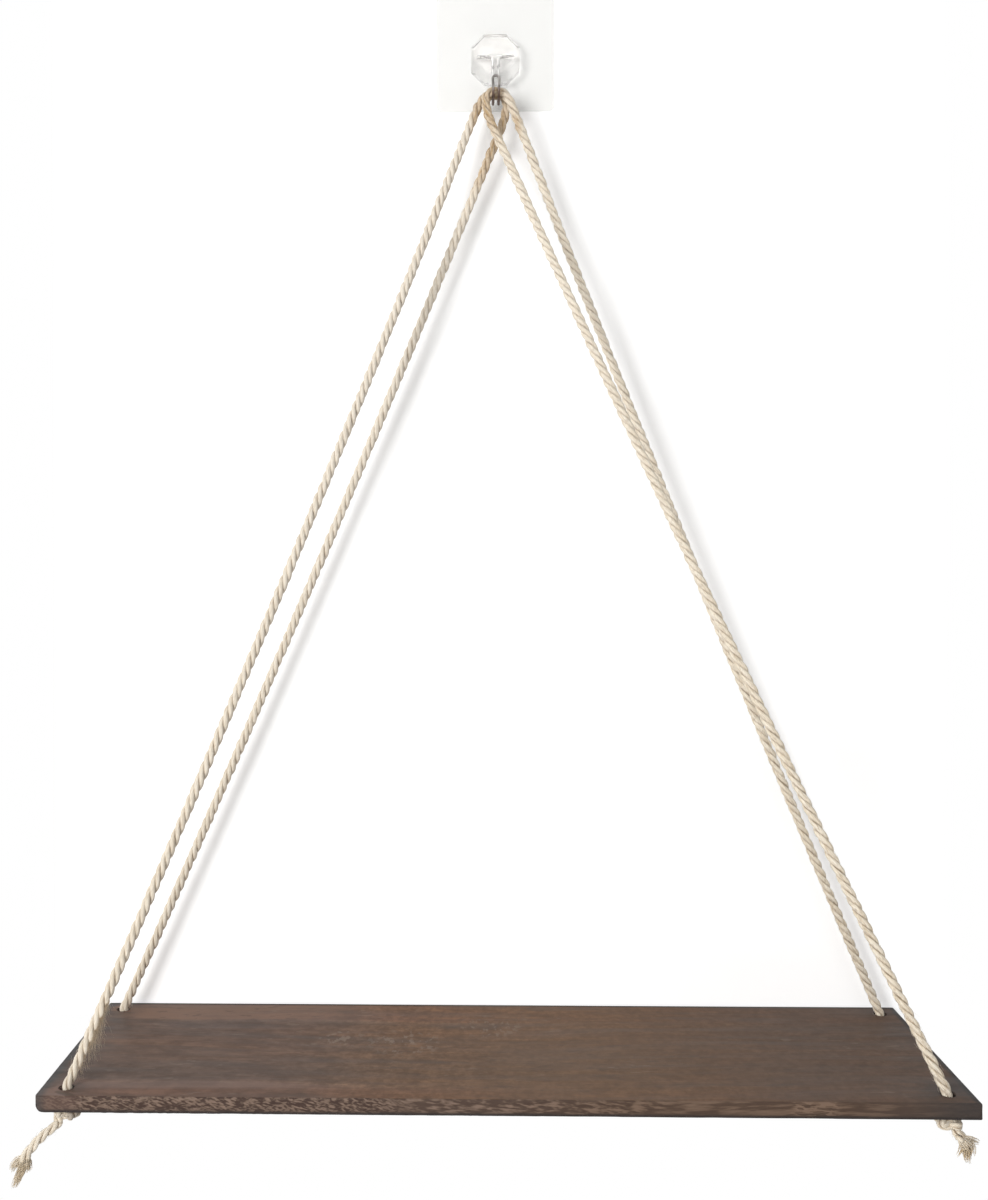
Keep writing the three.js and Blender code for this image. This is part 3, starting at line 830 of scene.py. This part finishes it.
def board_points():
    """The board's surface with eased edges, a gouged front edge and its worn places"""
    ease = 0.7 * MM
    xs = spaced(-BOARD_HALF, BOARD_HALF, 480, ease)
    ys = spaced(BOARD_FRONT_Y, BOARD_BACK_Y, 66, ease)
    zs = spaced(BOARD_BOTTOM_Z, BOARD_TOP_Z, 11, ease)
    points, quads = box_surface(xs, ys, zs)
    low, high = np.array([(a[0], a[-1]) for a in (xs, ys, zs)]).T
    from_edge = np.sort(np.hstack([points - low, high - points]), axis=1)[:, 1]

    inner = np.clip(points, low + ease, high - ease)
    outside = np.linalg.norm(points - inner, axis=1, keepdims=True) > ease
    points = np.where(outside, inner + unit(points - inner) * ease, points)

    # The front left corner is worn round, from the side and most of all from below
    worn = 1.2 * MM + 3.4 * MM * fade(-points[:, 1], 88 * MM, 117 * MM)
    for axes, corner, radius in (
        ([0, 1], (-BOARD_HALF, BOARD_FRONT_Y), np.full(len(points), 2.6 * MM)),
        ([0, 2], (-BOARD_HALF, BOARD_BOTTOM_Z), worn),
    ):
        middle = np.array(corner) + radius[:, None]
        reach = points[:, axes] - middle
        far = np.linalg.norm(reach, axis=1)
        pulled = (reach < 0).all(axis=1) & (far > radius)
        moved = middle[pulled] + reach[pulled] * (radius[pulled] / far[pulled])[:, None]
        points[np.ix_(pulled, axes)] = moved

    xm, ym, zm = points.T / MM
    right_share = fade(xm, -75, 60)
    sway = 1.5 * lattice_noise(xm / 7, zm / 3.5, 5)
    left_spots = lattice_noise(xm / 1.9 + sway, zm / 1.2 + 0.28 * xm, 6)
    cross_spots = lattice_noise(xm / 2.1 - sway, zm / 1.3 - 0.26 * xm, 7)
    swell = lattice_noise(xm / 21, zm / 9, 9)
    flames = lattice_noise(xm / 7.5 + 0.8 * swell, zm / 1.25 + 1.7 * swell, 10)
    waves = lattice_noise(xm / 13, zm / 1.5 + 2.6 * lattice_noise(xm / 15, zm / 12, 8), 11)
    crossed = 0.85 * fade(cross_spots, 0.52, 0.75)
    left = np.maximum(fade(left_spots, 0.5, 0.72), crossed)
    flame_share = fade(xm, 20, 90)
    right = fade(flames, 0.5, 0.78) * (1 - flame_share)
    right = right + fade(waves, 0.52, 0.8) * flame_share
    lines = left * (1 - right_share) + right * right_share
    strength = 0.35 + 0.65 * fade(lattice_noise(xm / 26, zm / 30, 12), 0.3, 0.65)
    strength = strength * (1 - 0.55 * fade(xm, 120, 165))
    on_front = fade(-ym, 119.4, 120.1)
    scoop = (0.12 + 0.18 * lattice_noise(xm / 5, zm / 2, 13)) * (1 - lines) * strength * on_front
    points[:, 1] += scoop * MM

    # The wide faces are brushed along the grain, and the ends are sawn
    brushed = lattice_noise(xm / 45, ym / 0.9, 14) - 0.5
    brushed = brushed + 0.6 * (lattice_noise(xm / 80, ym / 3.1, 15) - 0.5)
    on_top, below = fade(zm, -487.2, -486.6), fade(-zm, 492.8, 493.4)
    points[:, 2] += 0.07 * MM * brushed * (on_top - below)
    sawn = lattice_noise(ym / 0.8, zm / 2.4, 16) * fade(np.abs(xm), 199.4, 199.95)
    points[:, 0] -= np.sign(xm) * 0.12 * MM * sawn
    return points, quads, from_edge


# Wood colours: the grain from dark to pale, and the bands from the front edge to the back one
GRAIN = (
    (0.39, 0.08, 0.052, 0.038),
    (0.47, 0.12, 0.082, 0.06),
    (0.53, 0.143, 0.099, 0.074),
    (0.61, 0.2, 0.144, 0.11),
)
BANDS = (
    (0.0, 0.15, 0.089, 0.062),
    (0.02, 0.18, 0.112, 0.086),
    (0.042, 0.196, 0.148, 0.122),
    (0.075, 0.112, 0.086, 0.07),
    (0.3, 0.124, 0.09, 0.07),
    (0.55, 0.15, 0.1, 0.072),
    (0.7, 0.118, 0.082, 0.062),
    (0.86, 0.125, 0.09, 0.072),
    (0.895, 0.2, 0.148, 0.118),
    (0.915, 0.19, 0.104, 0.076),
    (0.97, 0.15, 0.092, 0.068),
)


def wood_material():
    """Dark torched softwood: streaks along the board, bands across it and burnt ends and edges"""
    s = new_material("dark_wood")
    place = s.place()
    x, y, z = s.parts(place)

    # A slow drift bends the grain lines, which run along the board
    drift = s.noise(place, (5.5, 9, 9), 2, output="Color")
    drift = s.vector_math("SUBTRACT", drift, (0.5, 0.5, 0.5))
    bent = s.vector_math("ADD", place, s.vector_math("MULTIPLY", drift, (0, 0.022, 0.022)))
    _, bent_y, _ = s.parts(bent)
    fine = s.noise(bent, (14, 520, 520), 4, 0.65)
    medium = s.noise(bent, (9, 165, 165), 3, 0.6)
    broad = s.noise(bent, (4.5, 42, 42), 2)
    s.tint = s.ramp(s.total(s.times(fine, 0.3), s.times(medium, 0.7)), GRAIN)

    # Growth bands lie side by side across the board and fade towards the right
    bands = s.ramp(s.fade(bent_y, BOARD_FRONT_Y, BOARD_BACK_Y), BANDS)
    bands = s.mix(s.fade(medium, 0.36, 0.64, 0.35, 0), bands, (0.1, 0.07, 0.054))
    s.cover(s.fade(x, -0.11, 0.03, 0.62, 0.22), bands)
    s.tone(s.fade(s.size(x), 0.03, 0.15, 0.42, 0), (1.16, 1.02, 0.86))
    s.cover(s.fade(broad, 0.46, 0.62, 0, 0.3), (0.085, 0.072, 0.064))
    s.tone(s.fade(x, 0.03, 0.17), (0.8, 0.77, 0.78))

    # The hue changes from the left to the right
    hue = s.mix(s.fade(x, -0.11, -0.04), (1.05, 0.935, 0.9), (1.14, 1.01, 0.88))
    hue = s.mix(s.fade(x, 0.01, 0.07), hue, (1.09, 0.945, 0.79))
    hue = s.mix(s.fade(x, 0.09, 0.14), hue, (1.03, 0.955, 0.885))
    s.tone(1.0, hue)

    # Darker and lighter mottles and specks, evened out in the middle and on the right
    dark_light = (0.84, 0.84, 0.84), (1.16, 1.16, 1.16)
    mottle = s.noise(bent, (85, 150, 150), 3, 0.6)
    s.tone(1.0, s.mix(s.fade(mottle, 0.36, 0.64), *dark_light))
    specks = s.noise(bent, (330, 250, 250), 2, 0.6)
    specked = s.mix(s.fade(specks, 0.36, 0.64), *dark_light)
    s.tone(s.fade(x, -0.11, -0.05, 0.25, 1.0), specked)
    even = s.mix(s.fade(x, 0.03, 0.17), (0.155, 0.103, 0.07), (0.121, 0.082, 0.062))
    s.cover(s.fade(x, -0.06, 0.03, 0, 0.5), even)
    toned = s.mix(s.fade(x, 0.03, 0.09), (1, 0.94, 0.86), (0.945, 0.895, 0.84))
    s.tone(s.fade(x, -0.09, -0.03), toned)

    # A brighter stripe near the back and a greyer one near the front, both on the left
    uneven = s.fade(medium, 0.36, 0.6, 0.45, 1)
    back = s.times(s.fade(bent_y, -0.0255, -0.0225), s.fade(x, -0.045, -0.11, 0, 0.85), uneven)
    s.cover(back, (0.24, 0.15, 0.108))
    front = s.times(s.fade(bent_y, -0.1045, -0.1075), s.fade(bent_y, -0.1135, -0.1105))
    front = s.times(front, s.fade(x, -0.05, -0.12, 0, 0.75), uneven)
    s.cover(front, (0.2, 0.138, 0.114))

    # Short pale scratches are scattered over the middle, with three patches of soft spots
    pale = (0.25, 0.185, 0.142)
    chips = s.noise(bent, (95, 260, 260), 2, 0.7)
    clusters = s.noise(place, (13, 34, 34), 1)
    scratched = s.times(s.fade(chips, 0.6, 0.7), s.fade(clusters, 0.5, 0.62, 0, 0.3))
    s.cover(scratched, pale)
    pits = s.times(s.fade(chips, 0.42, 0.34), s.fade(broad, 0.4, 0.56, 0, 0.4))
    s.cover(pits, (0.07, 0.05, 0.038))
    spots = s.fade(s.noise(place, (300, 170, 170), 2, 0.65), 0.52, 0.66, 0, 0.6)
    patches = (-0.044, -0.055, 0.024), (-0.004, -0.033, 0.02), (-0.075, -0.05, 0.016)
    for patch_x, patch_y, far in patches:
        away = s.vector_math("DISTANCE", place, (patch_x, patch_y, BOARD_TOP_Z), "Value")
        s.cover(s.times(s.fade(away, far, far * 0.35), spots), pale)

    # Burnt ends, and scorched places round the front holes
    smoke = s.noise(place, (40, 90, 90), 3, 0.6)
    burnt = s.times(s.fade(s.size(x), 0.172, BOARD_HALF), s.fade(smoke, 0.4, 0.62, 0.1, 0.7))
    char = s.mix(s.fade(x, -0.1, 0.1), (0.058, 0.056, 0.054), (0.06, 0.046, 0.04))
    s.cover(burnt, char)
    corner = s.times(s.fade(x, -0.179, -0.187), s.fade(y, -0.1, -0.112, 0, 0.6))
    corner_tint = s.mix(s.fade(mottle, 0.42, 0.56), (0.1, 0.07, 0.055), (0.23, 0.15, 0.12))
    s.cover(corner, corner_tint)
    s.cover(s.fade(x, -0.1945, -0.1985, 0, 0.7), (0.062, 0.066, 0.07))
    scorch = s.times(s.fade(x, 0.16, 0.19), s.fade(y, -0.085, -0.108, 0, 0.6))
    scorch = s.times(scorch, s.fade(smoke, 0.36, 0.56, 0.4, 1))
    s.cover(scorch, (0.062, 0.055, 0.052))
    s.cover(s.fade(x, 0.1962, 0.1988, 0, 0.8), (0.034, 0.033, 0.034))

    # Strokes on the gouged front edge: short and slanting, then flames, then long low waves
    def strokes(turn, length, height, detail=1):
        size = (length, length, height)
        turned = {"Vector": place, "Rotation": (0, turn, 0), "Scale": size}
        mapped = s.node("Mapping", turned, vector_type="TEXTURE").outputs["Vector"]
        return s.noise(mapped, 1, detail)

    left = s.fade(strokes(0.3, 0.0027, 0.0008), 0.42, 0.66)
    crossed = s.fade(strokes(-0.22, 0.0029, 0.0009), 0.46, 0.68, 0, 0.85)
    flames = s.fade(strokes(0.1, 0.006, 0.0013, 2), 0.4, 0.64, 0.25, 1.15)
    waves = s.fade(strokes(-0.03, 0.014, 0.0015, 3), 0.38, 0.64, 0.3, 0.85)
    chipped = s.fade(s.size(s.total(x, -0.1305)), 0.012, 0.006)
    waves = s.total(waves, s.times(chipped, s.fade(flames, 0.55, 0.9, 0, 0.6)))
    pattern = s.times(s.largest(left, crossed), s.fade(x, -0.03, -0.06))
    pattern = s.total(pattern, s.times(flames, s.fade(x, -0.06, -0.03, 0, 0.85)))
    right_share = s.fade(x, 0.05, 0.08)
    pattern = s.times(pattern, s.remainder(right_share))
    pattern = s.total(pattern, s.times(right_share, waves))
    hollows = [(0, 0.062, 0.037, 0.029), (0.45, 0.108, 0.072, 0.054), (1, 0.225, 0.154, 0.116)]
    gouged = s.ramp(pattern, hollows)
    gouged = s.stain(s.fade(x, -0.02, 0.06), gouged, (0.91, 0.87, 0.81))
    for along, start, end, most, burn in (
        (x, -0.178, -0.186, 0.6, (0.14, 0.088, 0.07)),
        (x, 0.14, 0.18, 0.6, (0.08, 0.058, 0.048)),
        (x, 0.168, 0.195, 0.75, (0.047, 0.041, 0.039)),
        (z, -0.49, -0.4928, 0.35, (0.055, 0.039, 0.032)),
        (z, -0.4917, -0.4926, 0.7, (0.03, 0.025, 0.023)),
        (x, -0.1935, -0.1985, 0.7, (0.05, 0.05, 0.05)),
    ):
        gouged = s.mix(s.fade(along, start, end, 0, most), gouged, burn)
    s.cover(s.fade(y, -0.1192, -0.1201), gouged)

    # Burnt edges, apart from the upper one at the front
    edge = s.fade(s.attribute("edge"), 0.4 * MM, 1.5 * MM, 0.85, 0)
    top_front = s.times(s.fade(y, -0.118, -0.1195), s.fade(z, -0.4895, -0.488))
    edge = s.times(edge, s.remainder(top_front))
    edge = s.largest(edge, s.fade(y, -0.0036, -0.0022, 0, 0.8))
    edge_smoke = s.noise(place, (120, 400, 400), 2, 0.6)
    edge = s.times(edge, s.fade(edge_smoke, 0.3, 0.6, 0.4, 1))
    s.cover(edge, (0.03, 0.026, 0.025))
    s.cover(s.fade(y, -0.0034, -0.002, 0, 0.75), (0.026, 0.022, 0.021))

    return s.covered(
        Base_Color=s.tint,
        Roughness=s.fade(medium, 0.3, 0.7, 0.52, 0.7),
        Specular_IOR_Level=0.16,
        Normal=s.bump(s.total(fine, s.times(medium, 0.5)), 0.35, 0.25 * MM),
    )


def cut_holes(board):
    """Cuts the four rope holes, with eased rims, and keeps the board's values"""
    rim = [(0.62, 1.0), (0.38, 0.02), (0.1, -0.28), (0, -0.6)]
    thickness = (BOARD_TOP_Z - BOARD_BOTTOM_Z) / MM
    profile = [*rim, *((out, -thickness - height) for out, height in reversed(rim))]
    circle = spokes(np.array([[1, 0, 0]]), np.array([[0, -1, 0]]), sides=40)[0]
    rings = [circle * (HOLE_RADIUS + out * MM) + [0, 0, height * MM] for out, height in profile]
    builder = Builder(())
    for side in (-1, 1):
        for x, y in (FRONT_HOLE, BACK_HOLE):
            builder.tube(np.array(rings) + [side * x, y, BOARD_TOP_Z])
    points, faces, _ = builder.finished()
    cutter = add_object("hole_cutter", points, faces)
    cut = board.modifiers.new("holes", "BOOLEAN")
    cut.operation, cut.object, cut.solver = "DIFFERENCE", cutter, "EXACT"
    evaluated = board.evaluated_get(bpy.context.evaluated_depsgraph_get())
    board.data = bpy.data.meshes.new_from_object(evaluated)
    board.modifiers.clear()
    bpy.data.objects.remove(cutter)


def build_board(material):
    points, quads, from_edge = board_points()
    faces, edge = quads.tolist(), {"edge": from_edge}
    board = make_piece("torched_board", points, faces, material, "shelf", edge)
    cut_holes(board)
    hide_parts("shelf_board")


build_board(wood_material())


# Wire hook


def rounded_corners(corners, radii, steps):
    """A line through the corners, with an arc of the given radius at each inner one"""
    corners = np.array(corners, float)
    points = [corners[0]]
    for before, corner, after, radius in zip(corners, corners[1:], corners[2:], radii):
        back, onward = unit(before - corner), unit(after - corner)
        half = math.acos(float(np.clip(back @ onward, -1, 1))) / 2
        setback = radius / math.tan(half)
        centre = corner + unit(back + onward) * (radius / math.sin(half))
        start, end = corner + back * setback - centre, corner + onward * setback - centre
        sweep = math.pi - 2 * half
        for k in range(steps + 1):
            share = k / steps
            spoke = start * math.sin((1 - share) * sweep) + end * math.sin(share * sweep)
            points.append(centre + spoke / math.sin(sweep))
    return np.array([*points, corners[-1]])


def build_hook(material):
    half = [
        (CROSSBAR_HALF, SHANK_Y, CROSSBAR_Z),
        (SHANK_HALF, SHANK_Y, CROSSBAR_Z),
        (SHANK_HALF, SHANK_Y, SADDLE_Z),
        (SHANK_HALF, TIP_Y, SADDLE_Z),
        (SHANK_HALF, TIP_Y, SADDLE_Z + 3.65 * MM),
        (TIP_HALF, TIP_Y, TIP_TOP_Z - TIP_HALF),
        (TIP_HALF, TIP_Y, TIP_TOP_Z),
    ]
    other = [(-x, y, z) for x, y, z in reversed(half)]
    half_radii = [1.6 * MM, 3 * MM, 3 * MM, 0.65 * MM, 3.3 * MM, 0.98 * TIP_HALF]
    line = rounded_corners([*half, *other], [*half_radii, *reversed(half_radii)], 10)
    line = line[np.append(True, np.diff(lengths_along(line)) > 0.02 * MM)]
    tangent, normal, binormal = frames_along(line)
    rings = line[:, None] + WIRE_RADIUS * spokes(normal, binormal, sides=16)
    ends = []
    for at, sign in ((0, -1), (-1, 1)):
        for share in (0.3, 0.75, 0.95):
            shrink = math.sqrt(1 - share**2)
            centre = line[at] + sign * tangent[at] * WIRE_RADIUS * 0.4 * share
            ends.append(centre + (rings[at] - line[at]) * shrink)
    rings = np.concatenate([np.array(ends[2::-1]), rings, np.array(ends[3:])])
    builder = Builder(())
    builder.tube(rings)
    points, faces, _ = builder.finished()
    made = make_piece("bent_wire_hook", points, faces, material, "hook")
    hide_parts("wire_hook")


def steel_material():
    s = new_material("drawn_steel_wire")
    place = s.place()
    drawn = s.noise(place, (9000, 9000, 260), 2)
    stain = s.noise(place, 240, 3, 0.6)
    bright = s.ramp(stain, [(0.35, 0.5, 0.49, 0.48), (0.6, 0.74, 0.73, 0.72)])
    dull = s.ramp(stain, [(0.35, 0.14, 0.125, 0.115), (0.6, 0.27, 0.255, 0.24)])
    _, y, z = s.parts(place)
    # The wire is duller from where it comes forward of the boss out to its tip. At the saddle it is
    # also dark brown: painted shade under the ropes.
    low = s.fade(z, -24 * MM, -27 * MM)
    s.tint = s.mix(s.largest(s.fade(y, -7 * MM, -13 * MM), low), bright, dull)
    s.cover(low, (0.13, 0.09, 0.075))
    return s.covered(
        Base_Color=s.tint,
        Metallic=1.0,
        Roughness=s.total(s.fade(stain, 0.3, 0.7, 0.24, 0.42), s.times(low, 0.2)),
        Normal=s.bump(drawn, 0.2, 0.05 * MM),
    )


build_hook(steel_material())


# Clear parts on the wall


def see_through(s, inner, share, stain=WHITE):
    """Lets the given share of what is behind show, and all light from the lamps pass"""
    lamp_ray = s.node("LightPath").outputs["Is Shadow Ray"]
    return s.blend(s.largest(lamp_ray, share), inner, s.shader("BsdfTransparent", Color=stain))


def film_material(name, tint, haze, through):
    s = new_material(name)
    place = s.place()
    cloud = s.noise(place, haze, 3, 0.6)
    ripples = s.noise(place, (60, 60, 90), 2)
    inner = s.surface(
        Base_Color=s.mix(s.fade(cloud, 0.35, 0.7), tint, [0.97 * c for c in tint]),
        Roughness=s.fade(cloud, 0.3, 0.7, 0.12, 0.3),
        Specular_IOR_Level=0.5,
        Normal=s.bump(ripples, 0.25, 0.6 * MM),
    )
    return s.end(see_through(s, inner, through, (0.97, 0.97, 0.9675)))


def boss_material():
    """Clear moulded plastic, through which the lamps still reach the wall"""
    s = new_material("clear_moulded_plastic")
    place = s.place()
    flow = s.noise(place, (90, 90, 160), 2)
    x, _, z = s.parts(place)
    across, up = s.size(x), s.size(z)
    corner = s.times(s.total(across, up), math.sqrt(0.5))
    out = s.largest(across, up, corner)
    # Painted shade: the octagon's rim is tinted grey, for the thin dark outline that its edges
    # show.
    rim = s.times(s.fade(out, 10.6 * MM, 12 * MM), s.fade(flow, 0.3, 0.6, 0.6, 1))
    clear = s.mix(s.fade(flow, 0.3, 0.7), (0.95, 0.94, 0.932), (0.93, 0.92, 0.91))
    glass = s.surface(
        Base_Color=s.mix(rim, clear, (0.74, 0.735, 0.73)),
        Roughness=s.fade(flow, 0.35, 0.65, 0.02, 0.07),
        Transmission_Weight=1.0,
        IOR=1.46,
        Normal=s.bump(flow, 0.12, 0.3 * MM),
    )
    return s.end(see_through(s, glass, 0.0))


def repaint(node, material):
    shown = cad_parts[node]
    shown.data.materials.clear()
    shown.data.materials.append(material)


repaint("adhesive_layer", film_material("sticky_layer", (0.93, 0.925, 0.9), 90, 0.86))
repaint("carrier_film", film_material("clear_film", (0.95, 0.945, 0.93), 35, 0.88))
repaint("hook_boss", boss_material())


# Wall, floor and light


def stage_plane(name, corners, material):
    made = add_object(name, corners, [(0, 1, 2, 3)])
    made.data.materials.append(material)


def stage_material(name, is_wall):
    """White for the camera. The wall shows the ropes' soft shadows above the board, and is plain
    white below and beside it. Rays from behind pass through the wall."""
    s = new_material(name)
    x, _, z = s.parts(s.place())
    glow = s.fade(z, BOARD_TOP_Z + 0.13, BOARD_TOP_Z + 0.03, 0.2, 0.3) if is_wall else 0.2
    lit = {0: s.shader("BsdfDiffuse", Color=WHITE), 1: s.shader("Emission", Strength=glow)}
    shown = s.node("AddShader", lit).outputs[0]
    if is_wall:
        below = s.fade(z, BOARD_TOP_Z + 4 * MM, BOARD_BOTTOM_Z)
        beside = s.fade(s.size(x), BOARD_HALF, BOARD_HALF * 1.15)
        shown = s.blend(s.largest(below, beside), shown, s.shader("Emission", Strength=1.0))
    shader = s.blend(s.seen(), s.shader("BsdfDiffuse", Color=(0.76, 0.755, 0.75)), shown)
    if is_wall:
        behind = s.node("NewGeometry").outputs["Backfacing"]
        shader = s.blend(behind, shader, s.shader("BsdfTransparent"))
    return s.end(shader)


WALL_Y, FLOOR_Z, STAGE = 0.0002, -0.85, 4
WALL_FOOT = [(-STAGE, WALL_Y, FLOOR_Z), (STAGE, WALL_Y, FLOOR_Z)]
WALL_HEAD = [(STAGE, WALL_Y, STAGE), (-STAGE, WALL_Y, STAGE)]
FLOOR_FRONT = [(-STAGE, -STAGE, FLOOR_Z), (STAGE, -STAGE, FLOOR_Z)]
stage_plane("wall", [*WALL_FOOT, *WALL_HEAD], stage_material("wall_paint", True))
stage_plane("floor", [*FLOOR_FRONT, *WALL_FOOT[::-1]], stage_material("floor_paint", False))


def area_lamp(name, place, target, size, power):
    data = bpy.data.lights.new(name, "AREA")
    data.shape, data.size, data.energy = "SQUARE", size, power
    lamp = bpy.data.objects.new(name, data)
    lamp.location = place
    lamp.rotation_euler = (Vector(target) - Vector(place)).to_track_quat("-Z", "Y").to_euler()
    scene.collection.objects.link(lamp)


area_lamp("key_lamp", (-0.97, -1.48, 0.05), (0, 0, -0.27), 0.72, 19.5)
area_lamp("front_lamp", (0.5, -1.9, 0.1), (0, 0, -0.3), 1.2, 3)
area_lamp("top_lamp", (0.1, -0.9, 1.3), (0, -0.05, -0.45), 1.0, 5)


def light_world():
    """Soft white light from all round. The camera sees plain white."""
    world = bpy.data.worlds.new("studio")
    scene.world = world
    s = Shader(world)
    soft = s.shader("Background", Color=WHITE, Strength=0.25)
    white = s.shader("Background", Color=WHITE, Strength=1.0)
    s.end(s.blend(s.seen(), soft, white), "OutputWorld")


light_world()
scene.view_settings.view_transform = "Standard"
